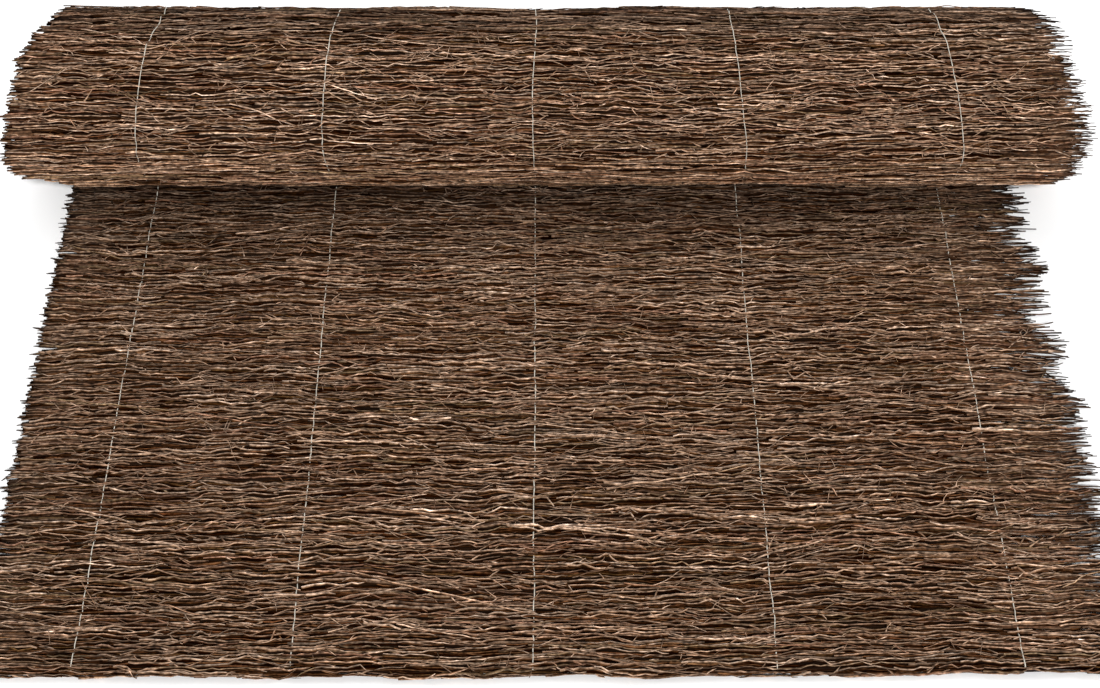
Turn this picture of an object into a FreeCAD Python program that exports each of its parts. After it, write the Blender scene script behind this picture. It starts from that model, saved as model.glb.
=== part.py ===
import FreeCAD, Part
import math
import os

os.makedirs("parts", exist_ok=True)

V = FreeCAD.Vector

# ---------------------------------------------------------------- dimensions
# A mat of heather twigs bound with five wires, most of it rolled up and the
# rest laid out flat.  Millimetres.  +X runs along the twigs and the roll's
# axis, +Y from the laid-out end towards the roll, +Z up from the ground.
MAT_T = 11.0            # thickness of the mat, and the pitch of its turns
ROLL_W = 1066.0         # length of the roll along X, twig tips included
SHEET_X0 = -488.5       # cut butts of the laid-out stretch
SHEET_X1 = 511.5        # twig tips of the laid-out stretch
SHEET_L = 673.2         # laid-out length, from its end to where it turns up
R_OUT = 96.0            # radius of the outer turn where it leaves the ground
BORE_R = 18.0           # open middle of the roll
NIP_GAP = 2.0           # height at which the closing gap at the nip is filled
TURN_GAP_W = 1.6        # gap between turns on the roll's ends
TURN_GAP_DEPTH = 12.0   # how far that gap is cut into each end
BORE_WALL = 11.0        # wall left between the bore and the innermost gap
WIRE_D = 1.2            # binding wire
WIRE_X = (-401.7, -215.1, -6.0, 203.2, 414.8)
SLOT_W = 1.4            # the wire's slot in the mat's face
SLOT_DEPTH = 1.3
WIRE_DEPTH = 0.65       # depth of the wire's centre below the mat's face
WIRE_NIP = 24.0         # how far from the nip the visible wire starts

# ---------------------------------------------------------------- the section
STEP = MAT_T / 4.0                       # loss of radius each quarter turn
SPAN_Y = SHEET_L + R_OUT                 # overall extent along Y
Y_END = -SPAN_Y / 2.0                    # laid-out end
Y0 = Y_END + SHEET_L                     # where the outer turn leaves the ground
BORE_Y = Y0 + STEP / 2.0
BORE_Z = R_OUT + STEP / 2.0


def centre(i):
    """Centre of quarter arc i (0 = ground to back) of the four-centre spiral."""
    return ((Y0, R_OUT), (Y0 + STEP, R_OUT),
            (Y0 + STEP, R_OUT + STEP), (Y0, R_OUT + STEP))[i % 4]


def radius(i):
    return R_OUT - STEP * i


def at(i, frac, off=0.0, x=0.0):
    """Point on quarter arc i, frac of the way round, off outward."""
    cy, cz = centre(i)
    a = math.radians(-90.0 + 90.0 * (i % 4) + 90.0 * frac)
    r = radius(i) + off
    return V(x, cy + r * math.cos(a), cz + r * math.sin(a))


def quarter(i, off=0.0, x=0.0, f0=0.0, f1=1.0):
    return Part.Arc(at(i, f0, off, x), at(i, (f0 + f1) / 2.0, off, x),
                    at(i, f1, off, x)).toShape()


def seg(a, b):
    return Part.LineSegment(a, b).toShape()


def nip_fraction(dist, off=0.0):
    """Fraction of the fourth quarter arc at which it is dist short of Y0."""
    return math.degrees(math.acos(dist / (radius(3) + off))) / 90.0


def outline(off, x, dist):
    """Edges of the mat's outer face, moved out by off: from dist short of the
    nip along the sheet's top, round its end, back underneath, and round the
    outer turn to dist short of the nip again."""
    r_end = MAT_T / 2.0
    yc = Y_END + r_end
    top_a = V(x, Y0 - dist, MAT_T + off)
    top_b = V(x, yc, MAT_T + off)
    low_a = V(x, yc, -off)
    low_b = V(x, Y0, -off)
    end_mid = V(x, Y_END - off, r_end)
    edges = [seg(top_a, top_b),
             Part.Arc(top_b, end_mid, low_a).toShape(),
             seg(low_a, low_b)]
    edges += [quarter(i, off, x) for i in range(3)]
    edges.append(quarter(3, off, x, 0.0, nip_fraction(dist, off)))
    return edges


def first(edges):
    return edges[0].Vertexes[0].Point


def last_point(dist, off, x):
    return at(3, nip_fraction(dist, off), off, x)


# ---------------------------------------------------------------- rolled part
nip_dist = math.sqrt(2.0 * radius(3) * NIP_GAP - NIP_GAP ** 2)
xl = -ROLL_W / 2.0
f_nip = nip_fraction(nip_dist)
p_nip = at(3, f_nip, 0.0, xl)
foot = V(xl, Y0 - nip_dist, 0.0)
roll_edges = [quarter(i, 0.0, xl) for i in range(3)]
roll_edges.append(quarter(3, 0.0, xl, 0.0, f_nip))
roll_edges.append(seg(p_nip, foot))
roll_edges.append(seg(foot, V(xl, Y0, 0.0)))
roll = Part.Face(Part.Wire(roll_edges)).extrude(V(ROLL_W, 0, 0))

# ---------------------------------------------------------------- laid-out part
r_end = MAT_T / 2.0
ya, yb = Y_END + r_end, Y0 - nip_dist + 6.0
sx = SHEET_X0
sheet_edges = [seg(V(sx, yb, MAT_T), V(sx, ya, MAT_T)),
               Part.Arc(V(sx, ya, MAT_T), V(sx, Y_END, r_end), V(sx, ya, 0)).toShape(),
               seg(V(sx, ya, 0), V(sx, yb, 0)),
               seg(V(sx, yb, 0), V(sx, yb, MAT_T))]
sheet = Part.Face(Part.Wire(sheet_edges)).extrude(V(SHEET_X1 - SHEET_X0, 0, 0))

mat = roll.fuse(sheet)

# ---------------------------------------------------------------- bore
bore = Part.makeCylinder(BORE_R, ROLL_W + 20.0, V(xl - 10.0, BORE_Y, BORE_Z), V(1, 0, 0))
mat = mat.cut(bore)

# ---------------------------------------------------------------- turns on the ends
half = TURN_GAP_W / 2.0
n_last = 4
while radius(n_last + 1) - half > BORE_R + BORE_WALL:
    n_last += 1


def gap_face(x):
    lead = V(x, Y0 - nip_dist - 1.0, 0.0)
    outer = [seg(V(x, lead.y, MAT_T - half), V(x, Y0, MAT_T - half))]
    outer += [quarter(i, half, x) for i in range(4, n_last + 1)]
    inner = [quarter(i, -half, x) for i in range(4, n_last + 1)]
    inner_lead = seg(V(x, lead.y, MAT_T + half), V(x, Y0, MAT_T + half))
    edges = outer + [seg(at(n_last, 1.0, half, x), at(n_last, 1.0, -half, x))]
    edges += list(reversed(inner)) + [inner_lead,
             seg(V(x, lead.y, MAT_T + half), V(x, lead.y, MAT_T - half))]
    return Part.Face(Part.Wire(Part.__sortEdges__(edges)))


for x_start in (-ROLL_W / 2.0 - 1.0, ROLL_W / 2.0 - TURN_GAP_DEPTH):
    mat = mat.cut(gap_face(x_start).extrude(V(TURN_GAP_DEPTH + 1.0, 0, 0)))

# ---------------------------------------------------------------- wire slots
for wx in WIRE_X:
    x = wx - SLOT_W / 2.0
    out = outline(1.0, x, WIRE_NIP)
    inn = outline(-SLOT_DEPTH, x, WIRE_NIP)
    band_edges = out + inn
    band_edges.append(seg(V(x, Y0 - WIRE_NIP, MAT_T + 1.0),
                          V(x, Y0 - WIRE_NIP, MAT_T - SLOT_DEPTH)))
    band_edges.append(seg(last_point(WIRE_NIP, 1.0, x),
                          last_point(WIRE_NIP, -SLOT_DEPTH, x)))
    band = Part.Face(Part.Wire(Part.__sortEdges__(band_edges)))
    mat = mat.cut(band.extrude(V(SLOT_W, 0, 0)))

mat = mat.removeSplitter()
if mat.ShapeType == "Compound" and len(mat.Solids) == 1:
    mat = mat.Solids[0]

# ---------------------------------------------------------------- wires
wires = []
for wx in WIRE_X:
    path_edges = outline(-WIRE_DEPTH, wx, WIRE_NIP + 1.0)
    path = Part.Wire(path_edges)
    start = V(wx, Y0 - WIRE_NIP - 1.0, MAT_T - WIRE_DEPTH)
    section = Part.Wire(Part.makeCircle(WIRE_D / 2.0, start, V(0, 1, 0)))
    tube = path.makePipeShell([section], True, False)
    if tube.ShapeType != "Solid":
        tube = tube.Solids[0]
    length = sum(e.Length for e in path_edges)
    wires.append(tube)
    print("wire at x", wx, "volume", round(tube.Volume, 1), "section x length",
          round(math.pi * (WIRE_D / 2.0) ** 2 * length, 1), "length", round(length, 1),
          tube.isValid())

# ---------------------------------------------------------------- files
nodes = {"heather_mat": mat}
for n, tube in enumerate(wires, 1):
    nodes["binding_wire_%d" % n] = tube

for name, shape in nodes.items():
    shape.exportStep(os.path.join("parts", name + ".step"))
    b = shape.BoundBox
    print(name, shape.ShapeType, "solids", len(shape.Solids), "valid", shape.isValid(),
          "closed", all(s.isClosed() for s in shape.Shells), "volume", round(shape.Volume, 1),
          "box", [round(v, 3) for v in (b.XMin, b.XMax, b.YMin, b.YMax, b.ZMin, b.ZMax)])

rolled = math.pi * ((R_OUT - 1.5 * STEP) ** 2 - BORE_R ** 2) / MAT_T
print("bore centre", BORE_Y, BORE_Z, "last groove arc", n_last, "radius", radius(n_last))
print("mat length: laid out", SHEET_L, "rolled", round(rolled, 1), "in all", round(SHEET_L + rolled, 1))
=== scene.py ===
"""Looks for a roll of heather screening: a mat of thin heather twigs bound by five wires, mostly rolled up,
with a stretch laid out flat in front.  Lengths in the tables below are millimetres; Blender objects are metres."""
import math

import bpy
import numpy as np
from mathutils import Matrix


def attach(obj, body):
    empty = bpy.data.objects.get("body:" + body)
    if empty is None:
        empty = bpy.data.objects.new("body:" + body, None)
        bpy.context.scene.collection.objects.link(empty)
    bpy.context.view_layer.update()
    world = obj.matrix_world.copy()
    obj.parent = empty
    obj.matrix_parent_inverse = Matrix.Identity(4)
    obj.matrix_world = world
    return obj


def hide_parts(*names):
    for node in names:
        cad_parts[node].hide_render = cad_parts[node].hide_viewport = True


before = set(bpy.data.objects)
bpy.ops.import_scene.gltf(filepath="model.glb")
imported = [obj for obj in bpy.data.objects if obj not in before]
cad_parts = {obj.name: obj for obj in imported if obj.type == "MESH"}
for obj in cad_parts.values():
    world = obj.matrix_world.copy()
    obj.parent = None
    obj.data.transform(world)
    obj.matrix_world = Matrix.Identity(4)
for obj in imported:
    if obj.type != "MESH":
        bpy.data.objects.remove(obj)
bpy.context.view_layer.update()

MM = 0.001

# ------------------------------------------------------------------ the mat's section
MAT_T = 11.0
ROLL_HALF = 533.0
SHEET_X0, SHEET_X1 = -488.5, 511.5
SHEET_L = 673.2
R_OUT = 96.0
BORE_R = 18.0
STEP = MAT_T / 4.0
Y_END = -(SHEET_L + R_OUT) / 2.0
Y0 = Y_END + SHEET_L
BORE_C = (Y0 + STEP / 2.0, R_OUT + STEP / 2.0)
WIRE_X = (-401.7, -215.1, -6.0, 203.2, 414.8)
R_END = MAT_T / 2.0

# w runs along the mat's visible face: 0 at the nip, along the sheet's top, round its end (W1 to W2), back underneath
# (to W3), then round the spiral from the ground up the back, over the top and down the front.
W1 = Y0 - (Y_END + R_END)
W2 = W1 + math.pi * R_END
W3 = W2 + W1
N_QUARTERS = 29
QUARTER_R = np.array([R_OUT - STEP * i for i in range(N_QUARTERS)])
QUARTER_W = W3 + np.concatenate([[0.0], np.cumsum(QUARTER_R * math.pi / 2.0)])
CENTRES = np.array([(Y0, R_OUT), (Y0 + STEP, R_OUT), (Y0 + STEP, R_OUT + STEP), (Y0, R_OUT + STEP)])
W4 = float(QUARTER_W[4])
W_TOP = 1590.0                     # top of the roll as the photograph's view sees it


# ------------------------------------------------------------------ noise
LATTICES = {}


def value_noise(x, y, sx, sy, seed):
    """Smooth noise from 0 to 1 on a lattice of sx by sy."""
    if seed not in LATTICES:
        LATTICES[seed] = np.random.default_rng(seed).random((256, 256))
    g = LATTICES[seed]
    fx, fy = np.asarray(x, float) / sx + 1000.0, np.asarray(y, float) / sy + 1000.0
    ix, iy = np.floor(fx).astype(int), np.floor(fy).astype(int)
    tx, ty = fx - ix, fy - iy
    tx, ty = tx * tx * (3 - 2 * tx), ty * ty * (3 - 2 * ty)
    a, b = ix % 256, (ix + 1) % 256
    c, d = iy % 256, (iy + 1) % 256
    return (g[a, c] * (1 - tx) + g[b, c] * tx) * (1 - ty) + (g[a, d] * (1 - tx) + g[b, d] * tx) * ty


def smooth(t):
    t = np.clip(t, 0.0, 1.0)
    return t * t * (3 - 2 * t)


def skin(w):
    """Point (y, z) and outward normal of the mat's face at w."""
    w = np.asarray(w, float)
    shape = w.shape
    w = w.ravel()
    p = np.empty((w.size, 2))
    n = np.empty((w.size, 2))
    top = w <= W1
    p[top] = np.stack([Y0 - w[top], np.full(top.sum(), MAT_T)], 1)
    n[top] = (0.0, 1.0)
    end = (w > W1) & (w <= W2)
    a = math.pi / 2.0 + (w[end] - W1) / R_END
    n[end] = np.stack([np.cos(a), np.sin(a)], 1)
    p[end] = (Y_END + R_END, R_END) + R_END * n[end]
    low = (w > W2) & (w <= W3)
    p[low] = np.stack([Y_END + R_END + (w[low] - W2), np.zeros(low.sum())], 1)
    n[low] = (0.0, -1.0)
    arc = w > W3
    i = np.clip(np.searchsorted(QUARTER_W, w[arc], side="right") - 1, 0, N_QUARTERS - 1)
    a = -math.pi / 2.0 + (i % 4) * math.pi / 2.0 + (w[arc] - QUARTER_W[i]) / QUARTER_R[i]
    n[arc] = np.stack([np.cos(a), np.sin(a)], 1)
    p[arc] = CENTRES[i % 4] + QUARTER_R[i][:, None] * n[arc]
    return p.reshape(shape + (2,)), n.reshape(shape + (2,))


def waver(x, w):
    """Waviness along the mat that neighbouring twigs share."""
    rolled = 1.0 - 0.35 * smooth((np.asarray(w, float) - W3) / 60.0)
    return rolled * (5.2 * (value_noise(x, w, 84.0, 150.0, 35) - 0.5) + 2.9 * (value_noise(x, w, 28.0, 58.0, 36) - 0.5)
                     + 2.2 * (value_noise(x, w, 11.0, 21.0, 37) - 0.5))


def near_edge(x, w):
    """How far the laid-out end is drawn in, unevenly, along x."""
    amount = 1.5 + 7.0 * value_noise(x, 0 * x, 190.0, 1.0, 31) + 3.5 * (value_noise(x, 0 * x, 45.0, 1.0, 32) - 0.5)
    reach = np.where(w < 0.5 * (W1 + W2), (w - (W1 - 70.0)) / 70.0, (W2 + 70.0 - w) / 70.0)
    return np.maximum(amount, 0.0) * smooth(reach)


def place(x, w, h):
    """World position in metres of a point at x, w and height h above the mat's face."""
    p, n = skin(w)
    x = np.broadcast_to(np.asarray(x, float), p.shape[:-1])
    swell = 1.3 * (value_noise(x, w, 120.0, 34.0, 33) - 0.5)
    rolled = smooth((np.asarray(w, float) - W3 - 20.0) / 60.0)
    rolled = rolled * (2.2 + 2.6 * smooth((np.abs(np.asarray(w, float) - 1722.0) - 55.0) / 40.0))
    swell = swell + (0.55 + rolled) * (value_noise(x, w, 130.0, 10.0, 38) - 0.5)
    q = p + n * (np.asarray(h) + swell)[..., None]
    out = np.stack([x, q[..., 0] + near_edge(x, np.asarray(w, float)), q[..., 1]], -1)
    out[..., 2] = np.maximum(out[..., 2], 0.15)
    return out * MM


# ------------------------------------------------------------------ the mat's two edges
# How far each edge stands in from the roll's half length, by w round the outer turn; less than nothing stands out.
LEFT_TABLE = np.array([(0, 41), (W3 - 20, 41), (1480, 41), (1611, 41), (1667, 19.5), (1688, 12), (1713, 7), (1737, 0),
                       (1760, -4.5), (1781, -8), (1816, -8), (1835, 6), (1850, 34), (1866, 48), (W4 - 20, 50)])
RIGHT_TABLE = np.array([(0, 36), (60, 31), (300, 24), (450, 14), (W1, 9), (W3 - 20, 21), (1480, 34), (1591, 44), (1641, 18), (1665, 10), (1691, 4),
                        (1710, 1), (1732, -6), (1744, -9), (1780, -15), (1818, -11), (1858, 3), (W4 - 20, 22)])
# The same for the inner turns, by height across the photograph's view of the roll.
LEFT_DOME = np.array([(-97, 30), (-90, 8), (-81, -6), (-53, -6), (-33, -2), (-9, 3), (18, 9), (44, 14), (62, 22), (93, 43)])
RIGHT_DOME = np.array([(-97, 6), (-81, -5), (-51, -9), (-14, -4), (-1, -2), (23, 4), (43, 14), (66, 22), (82, 30), (96, 52)])


def inset(w, table, dome):
    w = np.asarray(w, float)
    p, _ = skin(w)
    across = 0.6249 * (p[..., 0] - BORE_C[0]) + 0.7807 * (p[..., 1] - BORE_C[1])
    outer = np.interp(w, table[:, 0], table[:, 1])
    inner = np.interp(across, dome[:, 0], dome[:, 1])
    k = smooth((w - (W4 - 15.0)) / 70.0)
    k = np.maximum(k, smooth((w - W3 - 10.0) / 50.0) * (1.0 - smooth((w - 1540.0) / 45.0)))      # the roll's back
    return outer * (1 - k) + inner * k


def edges_at(w):
    """The mat's left and right edge along w: narrower where it is laid out, wider on the roll, both ragged."""
    w = np.asarray(w, float)
    left = -ROLL_HALF + inset(w, LEFT_TABLE, LEFT_DOME)
    right = ROLL_HALF - inset(w, RIGHT_TABLE, RIGHT_DOME)
    left = left + 4.5 * (value_noise(w, 0 * w, 4.2, 1.0, 11) - 0.5) + 5.0 * (value_noise(w, 0 * w, 60.0, 1.0, 12) - 0.5)
    laid = 1.0 - smooth((w - W1) / 30.0)
    notch = np.maximum(0.0, value_noise(w, 0 * w, 5.0, 1.0, 13) - 0.50)
    wide = value_noise(w, 0 * w, 27.0, 1.0, 14) - 0.5
    right = right - (7.0 + 51.0 * laid) * notch - (6.0 + 11.0 * laid) * wide
    return left, right


# ------------------------------------------------------------------ the wires' places
# On the roll the wires lean inward towards its top.
DRIFT_W = np.array([W3, 1560.0, 1607.0, 1650.0, 1674.0, 1718.0, 1760.0, 1787.0, 1828.0, W4])
DRIFT = np.array([(0, 10, 20, 15, 8.5, 2, -3.4, -5.5, -4, -2), (0, 6, 12, 6.5, 3.2, 0, -3, -3.8, 0, 0),
                  (0, 0, 0.5, 1.5, 1.5, -2, -2.6, -2, 0, 0), (0, -5, -12, -10.5, -8.5, -4.4, 0.5, 3.5, 4, 2),
                  (0, -9, -18.5, -14, -8.5, -1.2, 6, 10.5, 11.5, 5)])


def wire_x(index, w):
    return WIRE_X[index] + np.where(w > W3, np.interp(w, DRIFT_W, DRIFT[index]), 0.0)


# ------------------------------------------------------------------ joined twig meshes
class Twigs:
    """Many tapering twigs gathered into one mesh."""

    def __init__(self, name):
        self.name = name
        self.verts, self.cols, self.faces, self.quads = [], [], [], []
        self.uvs_q, self.uvs_c = [], []
        self.n_verts = 0
        self.n_twigs = 0

    def add(self, x, w, h, r, sides, colour, rng, flat=0.95, shade=0.6, mottle=0.32, cut=None):
        """x, w, h, r are (N, K) centre lines in mat coordinates; colour is (N, 3) or (N, K, 3).
        cut is the colour of the face at the first end, where the twig was cut."""
        n, k = x.shape
        if n == 0:
            return
        if flat < 1.0:
            w = w + waver(x, w)
        c = np.stack([x, w, h], -1)
        t = np.empty_like(c)
        t[:, 1:-1] = c[:, 2:] - c[:, :-2]
        t[:, 0] = c[:, 1] - c[:, 0]
        t[:, -1] = c[:, -1] - c[:, -2]
        t /= np.maximum(np.linalg.norm(t, axis=-1, keepdims=True), 1e-9)
        up = np.array([0.0, 0.0, 1.0])
        b1 = np.cross(up, t)
        b1 /= np.maximum(np.linalg.norm(b1, axis=-1, keepdims=True), 1e-9)
        b2 = np.cross(t, b1)
        phase = math.pi / 2.0 + rng.normal(0, 0.4, (n, 1, 1))
        a = phase + np.arange(sides)[None, None, :] * 2 * math.pi / sides
        ca, sa = np.cos(a)[..., None], np.sin(a)[..., None] * flat
        lump = 1.0 + rng.normal(0, 0.11, (n, k, 1, 1))
        ring = c[:, :, None, :] + (b1[:, :, None, :] * ca + b2[:, :, None, :] * sa) * (r[:, :, None, None] * lump)
        world = place(ring[..., 0], ring[..., 1], ring[..., 2])
        if colour.ndim == 2:
            colour = colour[:, None, :]
        along = np.exp(mottle * rng.normal(0, 1, (n, k)))
        tone = along[:, :, None, None] + 0 * sa
        col = colour[:, :, None, :] * (0.845, 0.865, 0.84) * tone ** np.array([1.0, 1.10, 1.20])
        # Alpha that paints a highlight along each twig's top and shade on its underside.
        painted_ridge_light = 0.62 + shade * (0.5 * np.sin(a) - 0.12) + 0 * along[:, :, None]
        col = np.concatenate([col, painted_ridge_light[..., None]], -1)
        base = self.n_verts + (np.arange(n) * k * sides)[:, None, None]
        kk = (np.arange(k - 1) * sides)[None, :, None]
        j = np.arange(sides)[None, None, :]
        j2 = (j + 1) % sides
        quad = np.stack([base + kk + j, base + kk + sides + j, base + kk + sides + j2, base + kk + j2], -1)
        tid = self.n_twigs + np.arange(n)
        k0 = np.arange(k - 1)[None, :, None] / (k - 1) + 0 * j
        k1 = (np.arange(k - 1)[None, :, None] + 1) / (k - 1) + 0 * j
        j0, j1 = j / sides + 0 * k0, (j + 1) / sides + 0 * k0
        uv = np.stack([np.stack([k0, j0], -1), np.stack([k1, j0], -1), np.stack([k1, j1], -1), np.stack([k0, j1], -1)], -2)
        uv = np.broadcast_to(uv, (n,) + uv.shape[1:]).reshape(-1, 4, 2)
        self.quads.append(quad.reshape(-1, 4))
        self.uvs_q.append((np.repeat(tid, (k - 1) * sides), 0.08 + 0.84 * uv[..., 0], 0.14 + 0.72 * uv[..., 1]))
        first = base[:, 0, 0][:, None] + np.arange(sides)[None, :]
        last = first[:, ::-1] + (k - 1) * sides
        if cut is not None:
            first = self.n_verts + n * k * sides + np.arange(n * sides).reshape(n, sides)
        for ring_ids, u0 in ((first, 0.05), (last, 0.95)):
            self.faces.append(ring_ids)
            ang = np.arange(sides) * 2 * math.pi / sides
            self.uvs_c.append((tid, u0 + 0.02 * np.cos(ang), 0.5 + 0.3 * np.sin(ang)))
        self.verts.append(world.reshape(-1, 3))
        self.cols.append(np.clip(col, 0.0, 1.0).reshape(-1, 4))
        self.n_verts += n * k * sides
        if cut is not None:
            self.verts.append(world[:, 0].reshape(-1, 3))
            face = np.asarray(cut, float) * rng.lognormal(0.0, 0.3, (n, 1))
            face = np.repeat(np.concatenate([face, np.full((n, 1), 0.8)], 1), sides, 0)
            self.cols.append(np.clip(face, 0.0, 1.0))
            self.n_verts += n * sides
        self.n_twigs += n

    def triangles(self):
        return sum(len(q) * 2 for q in self.quads) + sum(len(f) * (f.shape[1] - 2) for f in self.faces)

    def build(self, material, slot="heather", *replaced):
        verts = np.concatenate(self.verts).astype(np.float32)
        cols = np.concatenate(self.cols).astype(np.float32)
        me = bpy.data.meshes.new(self.name)
        loops = [np.concatenate(self.quads).ravel()] + [f.ravel() for f in self.faces]
        sizes = [np.full(sum(len(q) for q in self.quads), 4)] + [np.full(len(f), f.shape[1]) for f in self.faces]
        loops, sizes = np.concatenate(loops).astype(np.int32), np.concatenate(sizes)
        starts = np.concatenate([[0], np.cumsum(sizes)[:-1]]).astype(np.int32)
        me.vertices.add(len(verts))
        me.vertices.foreach_set("co", verts.ravel())
        me.loops.add(len(loops))
        me.loops.foreach_set("vertex_index", loops)
        me.polygons.add(len(starts))
        me.polygons.foreach_set("loop_start", starts)
        me.polygons.foreach_set("use_smooth", np.concatenate([np.ones(sum(len(q) for q in self.quads), bool),
                                                              np.zeros(sum(len(f) for f in self.faces), bool)]))
        me.update(calc_edges=True)
        rgba = np.ascontiguousarray(cols, np.float32)
        # The colour attribute holds each twig's bark colour with its painted shade, and in its alpha the painted ridge
        # highlight.
        me.color_attributes.new(name="tint_and_painted_light", type="FLOAT_COLOR", domain="POINT").data.foreach_set("color", rgba.ravel())
        columns = 16
        rows = max(1, -(-self.n_twigs // columns))
        tid = np.concatenate([np.repeat(t, 4) for t, _, _ in self.uvs_q]
                             + [np.repeat(t, len(u)) for t, u, _ in self.uvs_c])
        u = np.concatenate([a.ravel() for _, a, _ in self.uvs_q]
                           + [np.tile(a, len(t)) for t, a, _ in self.uvs_c])
        v = np.concatenate([b.ravel() for _, _, b in self.uvs_q]
                           + [np.tile(b, len(t)) for t, _, b in self.uvs_c])
        uv = np.stack([(tid % columns + u) / columns, (tid // columns + v) / rows], 1).astype(np.float32)
        me.uv_layers.new(name="OFBake").uv.foreach_set("vector", uv.ravel())
        me.materials.append(material)
        me.validate()
        ob = bpy.data.objects.new(self.name, me)
        bpy.context.scene.collection.objects.link(ob)
        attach(ob, "root")
        if replaced:
            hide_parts(*replaced)
        print(self.name, "twigs", self.n_twigs, "triangles", self.triangles())
        return ob


# ------------------------------------------------------------------ colours (linear)
def lin(r, g, b):
    c = np.array([r, g, b], float) / 255.0
    return np.where(c <= 0.04045, c / 12.92, ((c + 0.055) / 1.055) ** 2.4)


TAN = lin(156, 131, 112)
LIGHT = lin(134, 107, 87)
MID = lin(109, 81, 62)
RED = lin(108, 75, 57)
OLIVE = lin(94, 75, 52)
DARK = lin(52, 27, 9)
PALETTE = np.stack([TAN, LIGHT, MID, RED, OLIVE, DARK])
CUT = lin(150, 118, 84) * 0.6
BRIGHT = 0.92                      # over all the bark


def colours_for(x, w, rng, weights):
    """A bark colour for each twig, with patches where one kind is common; painted shade towards the nip on both sides
    and over the roll's top and lower front, and the laid-out stretch a little darker towards its left and lighter
    towards its near end.
    """
    n = len(x)
    p = np.tile(np.asarray(weights, float), (n, 1))
    patch = value_noise(x, w, 150.0, 16.0, 21)
    red = value_noise(x, w, 220.0, 60.0, 22)
    p[:, 4] *= 0.5 + 2.2 * np.maximum(0.0, patch - 0.45)
    p[:, 3] *= 0.3 + 1.8 * red
    p[:, 0] *= 0.85 + 0.3 * (1.0 - patch)
    p[:, 5] *= 0.88 + 0.25 * patch
    p = np.cumsum(p / p.sum(1, keepdims=True), 1)
    pick = (rng.random(n)[:, None] > p).sum(1).clip(0, 5)
    usual = np.asarray(weights, float) @ PALETTE / sum(weights)
    mix = rng.uniform(0.15, 0.55, (n, 1))
    c = PALETTE[pick] * (1 - mix) + usual * mix
    # painted shade in the crease where the roll meets the sheet, on both sides of it
    nip_shade = smooth((w + 25.0) / 225.0) * smooth((W4 - 2.0 - w) / 16.0)
    c = c * (0.24 + 0.76 * np.where(w < W4, nip_shade, 1.0))[:, None]
    # painted shade over the roll's top, which is seen edge on, and on its lower front near the nip
    brow_shade = np.where((w > W3) & (w < W4), 0.64 * smooth((1688.0 - w) / 58.0) * smooth((w - 1565.0) / 30.0)
                    + 0.16 * smooth((w - 1792.0) / 30.0), 0.0)
    laid = 1.0 - 0.14 * smooth((-130.0 - x) / 250.0) + 0.06 * smooth((w - 420.0) / 150.0)
    c = c * ((1.0 - brow_shade) * np.where(w < W1, laid, 1.0))[:, None]
    return BRIGHT * c * rng.lognormal(0.0, 0.15, (n, 1))


# ------------------------------------------------------------------ laying twigs on a face
def crooked(n, k, step, kink, rng, hold=42.0):
    """Sideways offsets of crooked twigs that keep coming back to their own line."""
    off = np.empty((n, k))
    head = rng.normal(0, kink, n)
    o = rng.normal(0, 0.45, n)
    for j in range(k):
        off[:, j] = o
        head = 0.42 * head + 0.63 * kink * rng.standard_t(4, n)
        o = o * (1.0 - min(0.9, step / hold)) + step * np.tan(np.clip(head, -1.05, 1.05))
    return off


def pinch(x, w, h, depth=1.0, reach=4.5):
    """Twigs are pressed down where a wire crosses them."""
    for i in range(5):
        g = np.exp(-((x - wire_x(i, w)) / reach) ** 2)
        h = h - g * np.maximum(0.0, h + depth)
    return h


def strands(rng, w_lo, w_hi, pitch, length, step, depth, radius, kink=0.17, tilt=0.03, butt=2.0, tip=12.0,
            flip=0.12, weave=0.4, taper=0.5, loose=0.45, side=0.3, hold=42.0):
    """Twigs laid end to end in rows across the mat, so that they cover it evenly, grouped by their number of points.
    length, depth and radius are (low, high)."""
    rows = max(1, int(round((w_hi - w_lo) / pitch)))
    row_w = w_lo + (np.arange(rows) + rng.uniform(0.5 - loose, 0.5 + loose, rows)) * (w_hi - w_lo) / rows
    left, right = edges_at(row_w)
    mean = (length[1] - length[0]) / math.log(length[1] / length[0])
    m = int(1150.0 / mean * 1.3) + 5
    ln = np.exp(rng.uniform(math.log(length[0]), math.log(length[1]), (rows, m)))
    a = np.cumsum(ln, 1) - ln - rng.uniform(0, length[1], (rows, 1)) + left[:, None]
    b = a + ln + rng.uniform(-5.0, 12.0, (rows, m))
    a = np.maximum(a, left[:, None] + rng.exponential(butt, (rows, m)))
    b = np.minimum(b, right[:, None] + 4.0 - rng.exponential(tip, (rows, m)))
    ok = b - a > 0.45 * length[0]
    w0 = (row_w[:, None] + rng.normal(0, side * pitch, (rows, m)))[ok]
    a, b = a[ok], b[ok]
    count = np.clip(np.round((b - a) / step).astype(int) + 1, 4, 64)
    out = []
    for k in np.unique(count):
        i = count == k
        n = int(i.sum())
        s = np.linspace(0, 1, k)[None, :]
        x = a[i][:, None] + (b[i] - a[i])[:, None] * s
        w = w0[i][:, None] + crooked(n, k, float((b[i] - a[i]).mean() / (k - 1)), kink, rng, hold)
        w = w + rng.normal(0, tilt, (n, 1)) * (x - x.mean(1, keepdims=True))
        h = rng.uniform(depth[0], depth[1], (n, 1)) + weave * value_noise(x + rng.uniform(0, 4000, (n, 1)), w, 22.0, 7.0, 34) - 0.5 * weave
        h = h + 0.5 * weave * rng.normal(0, 1, (n, k))
        r0 = rng.uniform(radius[0], radius[1], (n, 1))
        r = r0 * (1.0 - taper * s ** 1.3)
        other = rng.random(n) < flip
        r[other] = r[other][:, ::-1]
        r[:, -1] *= 0.7
        out.append((x, w, h, r))
    return out


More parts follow.
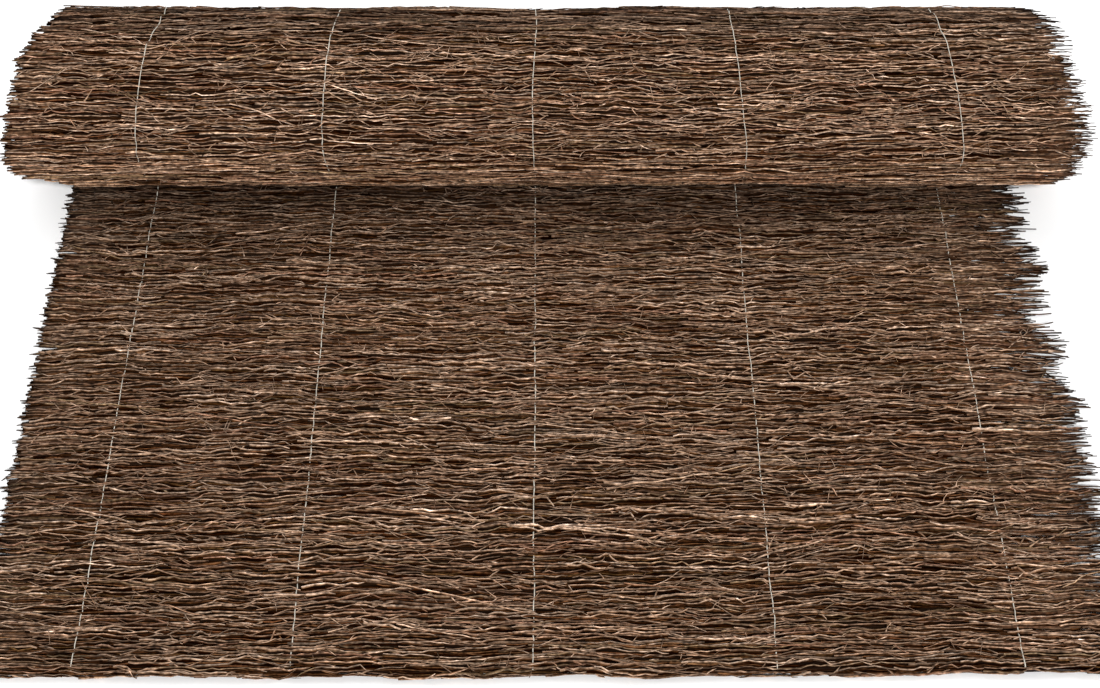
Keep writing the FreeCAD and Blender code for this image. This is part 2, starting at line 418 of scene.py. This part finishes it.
def forks(rng, parents, n, length, k, spread, sigma, thinner=0.7, lift=1.0, back=0.3, cap=1.15):
    """Side twigs that leave a parent twig at an angle and bend along it."""
    sizes = np.array([p[0].size for p in parents], float)
    share = rng.multinomial(n, sizes / sizes.sum())
    parts = []
    for (px, pw, ph, pr), q in zip(parents, share):
        if q == 0:
            continue
        m, kp = px.shape
        i, j, f = rng.integers(0, m, q), rng.integers(0, kp - 1, q), rng.random(q)
        parts.append([a[i, j] * (1 - f) + a[i, j + 1] * f for a in (px, pw, ph, pr)]
                     + [np.arctan2(pw[i, j + 1] - pw[i, j], px[i, j + 1] - px[i, j])])
    x0, w0, h0, r0, slope = [np.concatenate(c) for c in zip(*parts)]
    n = len(x0)
    ln = np.exp(rng.uniform(math.log(length[0]), math.log(length[1]), n))
    first = rng.choice([-1.0, 1.0], n) * rng.uniform(spread[0], spread[1], n)
    s = np.linspace(0, 1, k)[None, :]
    sign = np.where(rng.random(n) < back, -1.0, 1.0)[:, None]
    turn = 0.42 * crooked(n, k, 1.0, sigma, rng, hold=3.0)
    theta = np.clip(slope[:, None] * sign + first[:, None] * np.exp(-s * rng.uniform(0.3, 2.2, (n, 1))) + turn, -1.35, 1.35)
    step = (ln / (k - 1))[:, None]
    dx, dw = np.cos(theta) * step * sign, np.sin(theta) * step
    x = x0[:, None] + np.cumsum(dx, 1) - dx[:, :1]
    w = w0[:, None] + np.cumsum(dw, 1) - dw[:, :1]
    h = h0[:, None] + np.minimum(1.0, 3.0 * s) * rng.uniform(0.1, lift, (n, 1)) + rng.normal(0, 0.12, (n, k))
    r = np.minimum(r0 * thinner, cap)[:, None] * (1.0 - 0.55 * s)
    return [(x, w, h, r)]


def kept(groups, w_lo, w_hi, cap):
    """Drops twigs that leave the mat, and keeps heights under a cap."""
    out = []
    for x, w, h, r in groups:
        left, right = edges_at(w.mean(1))
        ok = (w.min(1) > w_lo) & (w.max(1) < w_hi) & (x.min(1) > left - 4.0) & (x.max(1) < right + 6.0)
        if ok.any():
            out.append((x[ok], w[ok], np.minimum(h[ok], cap), r[ok]))
    return out


def lay(mesh, groups, rng, weights, sides=3, bright=1.0, shade=0.6, press=0.45, edge_shade=0.18, painted_depth_light=0.0):
    """Lays the twigs with their colours; the last argument makes the twigs that stand proud lighter than those that lie
    deep: painted light and painted shade by depth.
    """
    for x, w, h, r in groups:
        h = np.where(rng.random((len(x), 1)) < press, pinch(x, w, h), h)
        mid = x.shape[1] // 2
        c = (colours_for(x[:, mid], w[:, mid], rng, weights) * bright)[:, None, :] * np.ones((1, x.shape[1], 1))
        # painted shade on the twigs that lie deep, painted light on those that stand proud
        c = c * (1.0 - painted_depth_light + 1.7 * painted_depth_light * smooth((h.mean(1) + 1.7) / 2.3))[:, None, None]
        # painted shade towards the mat's edges, on the ragged ends of the twigs
        left, right = edges_at(w)
        near = np.minimum((x - left) / 11.0, (right - x) / 24.0)
        dim = edge_shade + (0.75 - edge_shade) * ((w > W3 + 5.0) & (w < 1560.0))         # less on the roll's back
        c = c * (dim + (1.0 - dim) * smooth(near + 0.15))[..., None]
        mesh.add(x, w, h, r, sides, c, rng, shade=shade)


# ------------------------------------------------------------------ materials
def new_material(name):
    m = bpy.data.materials.new(name)
    m.use_nodes = True
    nt = m.node_tree
    nt.nodes.clear()
    out = nt.nodes.new("ShaderNodeOutputMaterial")
    bsdf = nt.nodes.new("ShaderNodeBsdfPrincipled")
    nt.links.new(bsdf.outputs[0], out.inputs["Surface"])
    return m, nt, bsdf


def noise_node(nt, scale, detail=3.0, rough=0.55, stretch=(1, 1, 1)):
    tc = nt.nodes.new("ShaderNodeTexCoord")
    mp = nt.nodes.new("ShaderNodeMapping")
    mp.inputs["Scale"].default_value = stretch
    nz = nt.nodes.new("ShaderNodeTexNoise")
    nz.inputs["Scale"].default_value = scale
    nz.inputs["Detail"].default_value = detail
    nz.inputs["Roughness"].default_value = rough
    nt.links.new(tc.outputs["Object"], mp.inputs["Vector"])
    nt.links.new(mp.outputs[0], nz.inputs["Vector"])
    return nz


def bark_material(name, gloss):
    m, nt, bsdf = new_material(name)
    tint_and_painted_light = nt.nodes.new("ShaderNodeAttribute")
    tint_and_painted_light.attribute_name = "tint_and_painted_light"
    flecks = noise_node(nt, 350.0, 1.5, 0.5, (0.75, 1, 1))
    ramp = nt.nodes.new("ShaderNodeMapRange")
    ramp.inputs["From Min"].default_value = 0.3
    ramp.inputs["From Max"].default_value = 0.7
    ramp.inputs["To Min"].default_value = 1.25
    ramp.inputs["To Max"].default_value = 5.15
    nt.links.new(flecks.outputs["Fac"], ramp.inputs["Value"])
    # a twig's sides are dark and its ridge light: painted shade on the sides and a painted highlight along the ridge,
    # read from the alpha
    painted_ridge_light = nt.nodes.new("ShaderNodeValToRGB")
    painted_ridge_light.color_ramp.interpolation = "LINEAR"
    stops = ((0.20, (0.045, 0.017, 0.004)), (0.45, (0.172, 0.121, 0.078)), (0.70, (0.378, 0.347, 0.316)), (1.0, (0.80, 0.835, 0.935)))
    while len(painted_ridge_light.color_ramp.elements) < len(stops):
        painted_ridge_light.color_ramp.elements.new(0.5)
    for element, (position, colour) in zip(painted_ridge_light.color_ramp.elements, stops):
        element.position = position
        element.color = colour + (1.0,)
    nt.links.new(tint_and_painted_light.outputs["Alpha"], painted_ridge_light.inputs["Fac"])
    mul = nt.nodes.new("ShaderNodeVectorMath")
    mul.operation = "MULTIPLY"
    nt.links.new(tint_and_painted_light.outputs["Color"], mul.inputs[0])
    nt.links.new(ramp.outputs[0], mul.inputs[1])
    both = nt.nodes.new("ShaderNodeVectorMath")
    both.operation = "MULTIPLY"
    nt.links.new(mul.outputs[0], both.inputs[0])
    nt.links.new(painted_ridge_light.outputs["Color"], both.inputs[1])
    nt.links.new(both.outputs[0], bsdf.inputs["Base Color"])
    bsdf.inputs["Roughness"].default_value = 0.6
    bsdf.inputs["Specular IOR Level"].default_value = gloss
    grain = noise_node(nt, 900.0, 2.0, 0.6, (0.3, 1, 1))
    bump = nt.nodes.new("ShaderNodeBump")
    bump.inputs["Strength"].default_value = 0.4
    bump.inputs["Distance"].default_value = 0.0004
    nt.links.new(grain.outputs["Fac"], bump.inputs["Height"])
    nt.links.new(bump.outputs[0], bsdf.inputs["Normal"])
    return m


# The mat's inner body, painted near black: painted shade deep between the twigs.
def shaded_core_material():
    m, nt, bsdf = new_material("heather_core_painted_shade")
    streak = noise_node(nt, 260.0, 4.0, 0.65, (0.06, 1, 1))
    ramp = nt.nodes.new("ShaderNodeValToRGB")
    ramp.color_ramp.elements[0].position = 0.35
    ramp.color_ramp.elements[0].color = (0.006, 0.002, 0.0005, 1)
    ramp.color_ramp.elements[1].position = 0.72
    ramp.color_ramp.elements[1].color = (0.030, 0.012, 0.004, 1)
    nt.links.new(streak.outputs["Fac"], ramp.inputs["Fac"])
    nt.links.new(ramp.outputs["Color"], bsdf.inputs["Base Color"])
    bsdf.inputs["Roughness"].default_value = 0.9
    bsdf.inputs["Specular IOR Level"].default_value = 0.1
    bump = nt.nodes.new("ShaderNodeBump")
    bump.inputs["Strength"].default_value = 0.8
    bump.inputs["Distance"].default_value = 0.002
    nt.links.new(streak.outputs["Fac"], bump.inputs["Height"])
    nt.links.new(bump.outputs[0], bsdf.inputs["Normal"])
    return m


def wire_material():
    m, nt, bsdf = new_material("galvanised_wire")
    spots = noise_node(nt, 330.0, 3.0, 0.6)
    ramp = nt.nodes.new("ShaderNodeValToRGB")
    ramp.color_ramp.elements[0].position = 0.3
    ramp.color_ramp.elements[0].color = (0.40, 0.37, 0.31, 1)
    ramp.color_ramp.elements[1].position = 0.7
    ramp.color_ramp.elements[1].color = (0.76, 0.71, 0.61, 1)
    nt.links.new(spots.outputs["Fac"], ramp.inputs["Fac"])
    nt.links.new(ramp.outputs["Color"], bsdf.inputs["Base Color"])
    bsdf.inputs["Metallic"].default_value = 0.1
    bsdf.inputs["Roughness"].default_value = 0.5
    bump = nt.nodes.new("ShaderNodeBump")
    bump.inputs["Strength"].default_value = 0.3
    bump.inputs["Distance"].default_value = 0.0002
    nt.links.new(spots.outputs["Fac"], bump.inputs["Height"])
    nt.links.new(bump.outputs[0], bsdf.inputs["Normal"])
    return m


BARK = bark_material("heather_bark", 0.08)
SHADED = bark_material("heather_bark_inside", 0.0)
SHADED_CORE = shaded_core_material()
WIRE = wire_material()

# ------------------------------------------------------------------ dark core under the twigs, painted as shade
W_LOW = 6.0                        # nearest the nip on the sheet's top
W_HIGH = W4 - 9.0                  # nearest the nip on the roll's front


def core_mesh():
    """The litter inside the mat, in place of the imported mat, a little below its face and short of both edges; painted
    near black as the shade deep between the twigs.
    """
    verts, faces = [], []
    cols = 24

    def grid(ws, depth, x_of):
        base = len(verts)
        for w in ws:
            a, b = x_of(w)
            for x in np.linspace(a, b, cols):
                verts.append(tuple(place(np.array(x), np.array(w), np.array(-depth))))
        for i in range(len(ws) - 1):
            for j in range(cols - 1):
                q = base + i * cols + j
                faces.append((q, q + cols, q + cols + 1, q + 1))
        return base

    ws = np.concatenate([np.linspace(-26.0, W1, 60), np.linspace(W1, W2, 9)[1:], np.linspace(W2, W3, 60)[1:]])
    b0 = grid(ws, 4.4, lambda w: (SHEET_X0 + 22.0, SHEET_X1 - 88.0))
    for i in range(len(ws) // 2):          # close both edges of the slab
        o = len(ws) - 2 - i
        if o <= i:
            break
        faces.append((b0 + (i + 1) * cols, b0 + i * cols, b0 + (o + 1) * cols, b0 + o * cols))
        faces.append((b0 + i * cols + cols - 1, b0 + (i + 1) * cols + cols - 1,
                      b0 + o * cols + cols - 1, b0 + (o + 1) * cols + cols - 1))
    ring = np.linspace(W3 + 2.0, W4 - 4.0, 120)
    n = len(ring)

    def roll_x(w):
        return (-ROLL_HALF + float(inset(w, LEFT_TABLE, LEFT_DOME)) + 24.0,
                ROLL_HALF - float(inset(w, RIGHT_TABLE, RIGHT_DOME)) - 52.0)

    b1 = grid(ring, 4.6, roll_x)
    bores = []
    for side in (0, cols - 1):             # stepped, domed end discs, with the open middle
        rims = [[b1 + i * cols + side for i in range(n)]]
        for depth in (13.5, 40.0, None):
            rim = []
            for i in range(n):
                y, z = np.array(verts[rims[0][i]][1:]) / MM - BORE_C
                d = math.hypot(y, z)
                rad = BORE_R + 1.5 if depth is None else d - depth
                py, pz = BORE_C[0] + y / d * rad, BORE_C[1] + z / d * rad
                across = 0.6249 * (py - BORE_C[0]) + 0.7807 * (pz - BORE_C[1])
                if side == 0:
                    x = -ROLL_HALF + np.interp(across, LEFT_DOME[:, 0], LEFT_DOME[:, 1]) + 24.0
                else:
                    x = ROLL_HALF - np.interp(across, RIGHT_DOME[:, 0], RIGHT_DOME[:, 1]) - 46.0
                rim.append(len(verts))
                verts.append((x * MM, py * MM, pz * MM))
            rims.append(rim)
        for outer, inner in zip(rims[:-1], rims[1:]):
            for i in range(n):
                k = (i + 1) % n
                f = (outer[i], outer[k], inner[k], inner[i])
                faces.append(f if side else f[::-1])
        bores.append(rims[-1])
    for i in range(n):
        k = (i + 1) % n
        faces.append((bores[0][i], bores[0][k], bores[1][k], bores[1][i]))
    for j in range(cols - 1):              # close the outer turn's seam at the nip
        faces.append((b1 + (n - 1) * cols + j, b1 + j, b1 + j + 1, b1 + (n - 1) * cols + j + 1))
    me = bpy.data.meshes.new("mat_shaded_core")
    me.from_pydata([tuple(map(float, v)) for v in verts], [], faces)
    me.materials.append(SHADED_CORE)
    me.update()
    me.validate()
    ob = bpy.data.objects.new("mat_shaded_core", me)
    bpy.context.scene.collection.objects.link(ob)
    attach(ob, "root")
    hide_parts("heather_mat")
    print("mat_shaded_core triangles", sum(len(p.vertices) - 2 for p in me.polygons))
    return ob


core_mesh()

# ------------------------------------------------------------------ the two visible faces
#            tan  light mid  red  olive dark
DEEP = (0.00, 0.00, 0.06, 0.06, 0.06, 1.00)
BODY = (0.00, 0.12, 0.50, 0.18, 0.22, 0.62)
TOP = (0.34, 0.50, 0.38, 0.13, 0.12, 0.06)


def cover(name, seed, w_lo, w_hi, bands, crossing, radius, kink, hold, n_fork, n_twiglet, tip, bright, proud=()):
    """Layers of twigs on one face: dark ones below, painted dark as the shade between the twigs above, lighter ones
    above, and side twigs on those.
    bands are (from, to, pitch, step) of the upper layer, crossing (from, to, pitch) of the twigs that lie across it and
    proud the same for those that stand up from it."""
    rng = np.random.default_rng(seed)
    low = Twigs(name + "_lower_twigs")
    # The lower layers are painted much darker than the upper: painted shade deep in the mat.
    a = strands(rng, w_lo, w_hi, 4.0, (180, 460), 32.0, (-5.0, -3.6), (1.5, 2.0), kink=0.07, butt=6.0, tip=2.1 * tip)
    lay(low, kept(a, w_lo - 3, w_hi + 3, -3.2), rng, DEEP, bright=np.array([0.30, 0.20, 0.11]), shade=0.8)
    b = strands(rng, w_lo, w_hi, 2.95, (110, 300), 12.5, (-3.3, -1.8), (0.88, 1.25), kink=0.12, butt=3.0, tip=1.3 * tip,
                loose=0.2, side=0.12, hold=12.0)
    b = kept(b, w_lo - 2, w_hi + 2, -1.2)
    lay(low, b, rng, BODY, bright=np.array([0.60, 0.485, 0.35]), shade=1.0)
    low.build(SHADED)
    top = Twigs(name + "_upper_twigs")
    c = []
    for lo, hi, pitch, step in bands:
        c += kept(strands(rng, lo, hi, pitch, (32, 135), step, (-1.6, 0.4), radius, kink=kink, weave=0.7, taper=0.35,
                          loose=0.10, side=0.06, hold=hold), w_lo, w_hi, 0.7)
    for lo, hi, gap in crossing:
        c += kept(strands(rng, lo, hi, gap, (30, 130), bands[0][3], (-0.4, 0.8), (0.85, 1.2), kink=0.13, tilt=0.14,
                          weave=0.5), w_lo, w_hi, 0.9)
    lay(top, c, rng, TOP, bright=bright, shade=1.0, painted_depth_light=0.42)
    for lo, hi, gap in proud:
        f = kept(strands(rng, lo, hi, gap, (40, 170), 9.0, (-0.2, 1.3), (0.9, 1.25), kink=0.10, weave=0.8, hold=20.0),
                 w_lo, w_hi, 1.6)
        lay(top, f, rng, TOP, bright=1.4 * bright, shade=1.0, painted_depth_light=0.42)
    top.build(BARK)
    side = Twigs(name + "_side_twigs")
    d = kept(forks(rng, c, n_fork, (18, 60), 7, (0.12, 0.42), 0.22), w_lo, w_hi, 1.1)
    lay(side, d, rng, TOP, bright=bright, shade=1.0)
    e = kept(forks(rng, c + d, n_twiglet, (6, 19), 4, (0.35, 1.15), 0.35, thinner=0.95), w_lo, w_hi, 1.5)
    lay(side, e, rng, TOP, bright=1.08 * bright, shade=1.0)
    side.build(BARK)


cover("sheet", 101, W_LOW, W2 - 1.0, [(W_LOW, W2 - 1.0, 4.65, 5.7)], [(W_LOW, W2 - 1.0, 27.0)], (1.04, 1.52), 0.16, 7.5, 1100, 3500,
      30.0, 0.92)
cover("roll", 202, W3 + 12.0, W_HIGH, [(W_TOP - 20.0, 1640.0, 6.0, 6.6), (1640.0, 1680.0, 4.2, 6.2), (1680.0, 1762.0, 3.6, 5.8),
                                       (1762.0, 1805.0, 4.1, 6.2), (1805.0, W_HIGH, 6.2, 7.5), (W3 + 12.0, W_TOP - 20.0, 5.2, 12.0)],
      [(W_TOP, 1870.0, 30.0)], (0.92, 1.3), 0.115, 6.5, 800, 1900, 18.0, 1.19,
      [(W_TOP + 24.0, 1655.0, 8.0), (1800.0, 1862.0, 8.0)])

# ------------------------------------------------------------------ underside of the laid-out stretch
rng = np.random.default_rng(303)
under = Twigs("underside_twigs")
a = strands(rng, W2 + 2.0, W3 + 16.0, 3.6, (300, 700), 70.0, (-3.4, -1.6), (1.5, 2.1), kink=0.03, butt=9.0, tip=75.0)
lay(under, kept(a, W2 - 4, W3 + 30, -1.5), rng, BODY, bright=0.8)
under.build(SHADED)


# ------------------------------------------------------------------ ends of the twigs
def outside_bore(w, h):
    p, nrm = skin(w)
    q = p + nrm * h[:, None]
    return np.hypot(q[:, 0] - BORE_C[0], q[:, 1] - BORE_C[1]) > BORE_R + 1.6


def painted_light_along(c, k, end_light_and_shade):
    """The same colour along a twig, scaled point by point by (K,) factors: painted shade towards the end at the mat's
    edge where they are under one, painted light where they are over one.
    """
    return c[:, None, :] * np.asarray(end_light_and_shade, float)[None, :k, None]


rng = np.random.default_rng(404)
butts = Twigs("roll_end_butts")
n = 2700
w = rng.uniform(W3, QUARTER_W[-1] - 1.0, n)
h = -rng.uniform(1.3, MAT_T - 1.2, n)
ok = outside_bore(w, h)
w, h = w[ok], h[ok]
n = len(w)
left, right = edges_at(w)
x_end = np.where(rng.random(n) < 0.06, left - rng.uniform(0.5, 6.5, n), left + 1.0 + rng.exponential(2.8, n))
s = np.array([0.0, 0.2, 1.0])[None, :]
second = (w > W4) & (w < QUARTER_W[8])
ln = np.where(second, rng.uniform(50, 78, n), rng.uniform(28, 42, n))[:, None]
x = x_end[:, None] + s * ln
ww = w[:, None] + np.cumsum(rng.normal(0, 0.6, (n, 3)), 1)
hh = np.clip(h[:, None] + np.cumsum(rng.normal(0, 0.4, (n, 3)), 1), -MAT_T + 0.9, -0.9)
r = rng.uniform(0.9, 1.7, n)[:, None] * np.ones((1, 3))
c = colours_for(x_end, w, rng, BODY)
inner = (w > W4) | (w < 1570.0)
# The outer turn's butts are painted darker at their cut ends, painted shade; the inner turns' butts and cut faces are
# painted lighter, painted light on the end discs.
for i, taper, end_light_and_shade, cut in ((~inner, [0.35, 0.9, 1.0], [0.35, 0.8, 0.9], CUT), (inner, [0.92, 0.97, 1.0], [1.3, 1.1, 1.0], 1.7 * CUT)):
    butts.add(x[i], ww[i], hh[i], r[i] * np.array([taper]), 4, painted_light_along(c[i], 3, end_light_and_shade), rng, shade=0.3, cut=cut)
butts.build(BARK)

rng = np.random.default_rng(505)
tips = Twigs("roll_end_tips")
n = 2300
w = rng.uniform(W3, QUARTER_W[-1] - 1.0, n)
h = -rng.uniform(1.2, MAT_T - 1.1, n)
ok = outside_bore(w, h)
w, h = w[ok], h[ok]
n = len(w)
left, right = edges_at(w)
x_end = right + 4.0 - rng.exponential(9.0, n)
second = (w > W4) & (w < QUARTER_W[8])
ln = np.where(second, rng.uniform(70, 100, n), rng.uniform(50, 80, n))[:, None]
s = np.linspace(0, 1, 4)[None, :]
x = x_end[:, None] - (1 - s) * ln
ww = w[:, None] + np.cumsum(rng.normal(0, 1.2, (n, 4)), 1)
hh = np.clip(h[:, None] + np.cumsum(rng.normal(0, 0.6, (n, 4)), 1), -MAT_T + 0.8, -0.6)
r = rng.uniform(0.9, 1.45, n)[:, None] * (1 - 0.5 * s ** 1.5)
c = colours_for(x_end, w, rng, BODY)
# The inner turns' tips take the upper layers' lighter colours and get lighter towards their ends, painted light on the
# end disc; the outer turn's tips get painted shade at their ends.
inner = (w > W4) | (w < 1570.0)
c[inner] = colours_for(x_end, w, rng, TOP)[inner]
for i, end_light_and_shade in ((~inner, [0.9, 1.0, 0.9, 0.45]), (inner, [0.9, 1.2, 1.7, 1.8])):
    tips.add(x[i], ww[i], hh[i], r[i], 3, painted_light_along(c[i], 4, end_light_and_shade), rng, shade=0.35)
n = 170                                # the outer turn's own fine tips, one by one
w = np.linspace(W_TOP - 40.0, W4 - 22.0, n) + rng.uniform(-0.9, 0.9, n)
left, right = edges_at(w)
k = 5
s = np.linspace(0, 1, k)[None, :]
x = right[:, None] + rng.uniform(0.0, 10.0, (n, 1)) - (1 - s) * rng.uniform(30, 60, (n, 1))
ww = w[:, None] + crooked(n, k, 12.0, 0.10, rng) + rng.normal(0, 0.05, (n, 1)) * s * 40.0
hh = rng.uniform(-2.4, -0.2, (n, 1)) + rng.normal(0, 0.25, (n, k))
r = rng.uniform(0.75, 1.05, (n, 1)) * (1 - 0.5 * s ** 1.6)
# painted shade towards the ends of these tips
tips.add(x, ww, hh, r, 3, painted_light_along(colours_for(x[:, 2], w, rng, BODY), k, [1.0, 1.0, 0.9, 0.6, 0.35]), rng, shade=0.5)
tips.build(BARK)

rng = np.random.default_rng(606)
edge = Twigs("sheet_edge_butts")
n = 800
w = rng.uniform(W_LOW, W1 + 4.0, n)
h = -rng.uniform(1.6, MAT_T - 1.4, n)
left, right = edges_at(w)
x_end = np.where(rng.random(n) < 0.14, left - rng.uniform(0.5, 7.5, n), left + 1.0 + rng.exponential(3.0, n))
s = np.array([0.0, 0.25, 1.0])[None, :]
x = x_end[:, None] + s * rng.uniform(30, 60, n)[:, None]
ww = w[:, None] + np.cumsum(rng.normal(0, 0.8, (n, 3)), 1)
hh = np.clip(h[:, None] + np.cumsum(rng.normal(0, 0.4, (n, 3)), 1), -MAT_T + 1.3, -1.6)
r = rng.uniform(0.9, 1.6, n)[:, None] * np.array([[0.35, 0.95, 1.0]])
# painted shade at the butts' cut ends along the sheet's left edge
edge.add(x, ww, hh, r, 4, painted_light_along(colours_for(x_end, w, rng, BODY), 3, [0.25, 0.6, 0.7]), rng, shade=0.3, cut=CUT)
edge.build(BARK)

rng = np.random.default_rng(707)
feather = Twigs("sheet_edge_tips")
n = 860
w = rng.uniform(W_LOW, W1 + 4.0, n)
h = -rng.uniform(0.4, MAT_T - 1.0, n) ** 1.0
left, right = edges_at(w)
x_end = right + 6.0 - rng.exponential(17.0, n)
k = 7
s = np.linspace(0, 1, k)[None, :]
ln = rng.uniform(55, 130, n)[:, None]
x = x_end[:, None] - (1 - s) * ln
ww = w[:, None] + crooked(n, k, 14.0, 0.13, rng) + rng.normal(0, 0.06, (n, 1)) * (s * ln)
hh = np.clip(h[:, None] + np.cumsum(rng.normal(0, 0.4, (n, k)), 1), -MAT_T + 0.9, 0.1)
r = rng.uniform(0.9, 1.4, n)[:, None] * (1 - 0.45 * s ** 1.4)
# painted shade towards the tips' ends along the sheet's right edge
feather.add(x, ww, hh, r, 3, painted_light_along(colours_for(x_end, w, rng, BODY), k, [0.9, 1, 1, 1, 0.85, 0.6, 0.25]), rng)
feather.build(BARK)

# ------------------------------------------------------------------ stray twigs that stand proud
rng = np.random.default_rng(808)
stray = Twigs("stray_twigs")
for w_lo, w_hi, count in ((W_LOW + 4, W1 - 6, 150), (W_TOP - 40.0, W_HIGH - 6, 130)):
    n = count
    for many, length, tilt, k in ((count, (34, 95), 0.15, 10), (count // 2, (12, 40), 0.45, 5)):
        w0 = rng.uniform(w_lo, w_hi, many)
        left, right = edges_at(w0)
        ln = rng.uniform(length[0], length[1], many)
        x0 = rng.uniform(left + 6.0, right - 10.0 - ln)
        lean = rng.normal(0, tilt, (many, 1))
        s = np.linspace(0, 1, k)[None, :]
        x = x0[:, None] + ln[:, None] * s * np.cos(lean)
        ww = w0[:, None] + ln[:, None] * s * np.sin(lean) + crooked(many, k, float(ln.mean()) / k, 0.16, rng)
        hh = 0.5 + rng.uniform(0.0, 1.1, (many, 1)) * np.ones((1, k)) + rng.normal(0, 0.15, (many, k))
        r = rng.uniform(0.65, 1.05, (many, 1)) * (1 - 0.55 * s)
        lay(stray, kept([(x, ww, hh, r)], w_lo, w_hi, 2.2), rng, TOP, bright=1.1, press=0.0)
for w_lo, w_hi, many in ((W_LOW + 10.0, W1 - 12.0, 26), (1660.0, 1800.0, 10)):
    w0 = rng.uniform(w_lo + 10.0, w_hi - 10.0, many)
    left, right = edges_at(w0)
    ln = rng.uniform(70, 190, many)
    x0 = rng.uniform(left + 10.0, right - 20.0 - ln)
    s = np.linspace(0, 1, 14)[None, :]
    lean = rng.choice([-1.0, 1.0], (many, 1)) * rng.uniform(0.10, 0.32, (many, 1))
    x = x0[:, None] + ln[:, None] * s * np.cos(lean)
    ww = w0[:, None] + ln[:, None] * (s - 0.5) * np.sin(lean) + crooked(many, 14, 9.0, 0.05, rng)
    hh = 0.6 + rng.uniform(0.0, 0.7, (many, 1)) + rng.normal(0, 0.12, (many, 14))
    r = rng.uniform(0.8, 1.1, (many, 1)) * (1 - 0.4 * s)
    lay(stray, kept([(x, ww, hh, r)], w_lo, w_hi, 2.2), rng, TOP, bright=1.35, shade=0.9, press=0.0)
n = 300
w0 = rng.uniform(W_TOP - 34.0, W_TOP + 26.0, n)
left, right = edges_at(w0)
ln = rng.uniform(14, 60, n)
x0 = rng.uniform(left + 4.0, right - 6.0 - ln)
s = np.linspace(0, 1, 6)[None, :]
x = x0[:, None] + ln[:, None] * s
ww = w0[:, None] + rng.normal(0, 0.1, (n, 1)) * ln[:, None] * s + crooked(n, 6, 7.0, 0.16, rng)
hh = -1.4 + rng.uniform(0.0, 2.6, (n, 1)) * s + rng.normal(0, 0.3, (n, 6))
r = rng.uniform(0.8, 1.2, (n, 1)) * (1 - 0.4 * s)
lay(stray, [(x, ww, hh, r)], rng, BODY, press=0.0)
stray.build(BARK)


# ------------------------------------------------------------------ binding wires
def wire(index):
    """One wire: it shows in stitches between the twigs, and dips under some of them."""
    rng = np.random.default_rng(901 + index)
    mesh = Twigs("wire_%d_strand" % (index + 1))
    for w_a, w_b, pace, stitch, cover_at, up, rise in ((18.0, W1 + 3.0, 2.1, 5.0, 0.66, -0.45, 1.7),
                                                       (W1 + 3.0, W3 + 4.0, 24.0, 400.0, 2.0, -1.0, 0.0),
                                                       (W3 + 4.0, W_HIGH - 18.0, 2.8, 7.0, 0.82, 0.2, 0.7)):
        n = int((w_b - w_a) / pace)
        w = np.linspace(w_a, w_b, n)
        drift = 1.5 * (value_noise(w, 0 * w, 38.0, 1.0, 60 + index) - 0.5) + 0.9 * (value_noise(w, 0 * w, 9.0, 1.0, 70 + index) - 0.5)
        wave = value_noise(w, 0 * w, stitch, 1.0, 80 + index)
        dip = np.clip((wave - cover_at + 0.05 * smooth((w - 380.0) / 150.0) * (w < W1 + 3.0)) / 0.12, 0, 1)
        h = up + rise * (value_noise(w, 0 * w, 33.0, 1.0, 90 + index) - 0.5) - 3.0 * dip
        h = h - 2.6 * smooth((w - 1800.0) / 30.0) * (w > W3)
        r = np.full(n, 0.5)
        mesh.add((wire_x(index, w) + drift)[None], w[None], h[None], r[None], 5,
                 np.array([[0.5, 0.5, 0.5]]), rng, flat=1.0, shade=0.0)
    return mesh


for i in range(5):
    wire(i).build(WIRE, "wire", "binding_wire_%d" % (i + 1))

# ------------------------------------------------------------------ floor, light and camera
me = bpy.data.meshes.new("floor")
me.from_pydata([(-9, -9, 0), (9, -9, 0), (9, 9, 0), (-9, 9, 0)], [], [(0, 1, 2, 3)])
floor = bpy.data.objects.new("floor", me)
m, nt, bsdf = new_material("pale_floor")
bsdf.inputs["Base Color"].default_value = (0.98, 0.98, 0.98, 1)
bsdf.inputs["Roughness"].default_value = 0.9
bsdf.inputs["Specular IOR Level"].default_value = 0.0
me.materials.append(m)
bpy.context.scene.collection.objects.link(floor)

world = bpy.data.worlds.new("studio")
bpy.context.scene.world = world
world.use_nodes = True
bg = world.node_tree.nodes.get("Background") or world.node_tree.nodes.new("ShaderNodeBackground")
bg.inputs["Color"].default_value = (1.0, 1.0, 1.0, 1)
bg.inputs["Strength"].default_value = 0.32


def sun(name, energy, angle, rotation):
    lamp = bpy.data.lights.new(name, "SUN")
    lamp.energy = energy
    lamp.angle = math.radians(angle)
    ob = bpy.data.objects.new(name, lamp)
    bpy.context.scene.collection.objects.link(ob)
    ob.rotation_euler = [math.radians(v) for v in rotation]
    return ob


sun("key", 2.95, 7.0, (47.0, 9.0, 0.0))
sun("top", 0.5, 50.0, (-25.0, -6.0, 0.0))
sun("left_fill", 0.65, 40.0, (-30.0, -50.0, 0.0))
sun("right_fill", 0.65, 40.0, (-30.0, 50.0, 0.0))

cam = bpy.data.cameras.new("camera")
cam.sensor_fit = "HORIZONTAL"
cam.sensor_width = 36.0
cam.lens = 2300.0 * 36.0 / 1100.0
cam.clip_start, cam.clip_end = 0.05, 60.0
camera = bpy.data.objects.new("camera", cam)
bpy.context.scene.collection.objects.link(camera)
camera.location = (0.0058, -1.5777, 1.5926)
camera.rotation_euler = (math.radians(90.0 - 44.76), 0.0, math.radians(-0.11))
bpy.context.scene.camera = camera
bpy.context.scene.view_settings.view_transform = "Standard"
bpy.context.scene.view_settings.look = "None"
